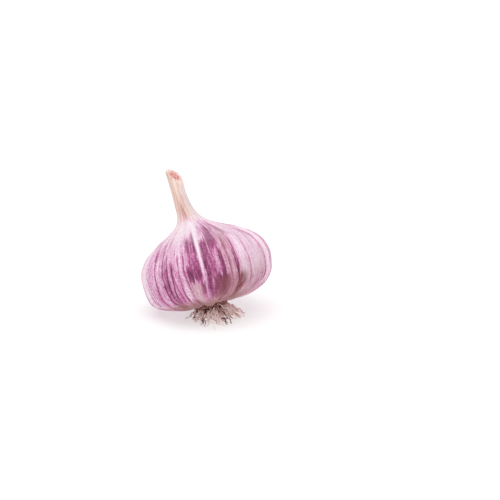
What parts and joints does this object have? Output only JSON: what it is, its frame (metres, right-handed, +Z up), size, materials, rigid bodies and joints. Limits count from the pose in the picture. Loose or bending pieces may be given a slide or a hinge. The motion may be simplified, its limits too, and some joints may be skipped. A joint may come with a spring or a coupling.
{
  "type": "garlic bulb",
  "caption": "Purple-striped garlic bulb lying tipped on its cloves, with a cut dried neck, torn papery outer skin and a tuft of dried roots.",
  "frame": {"origin": "on the surface it rests on, at the centre of the bulb's bounding box", "axes": "+Z up, +Y away from the side that shows the torn outer skin, the neck leaning towards -X and +Y"},
  "size_m": [0.0599, 0.0604, 0.0644],
  "materials": {
    "head_skin": "satin",
    "outer_skin": "satin",
    "cut_stalk": "matte",
    "dry_roots": "matte"
  },
  "bodies": {
    "root": {"head": "head_skin", "outer_skin": "outer_skin", "flower_stalk": "cut_stalk", "roots": "dry_roots"}
  },
  "joints": []
}
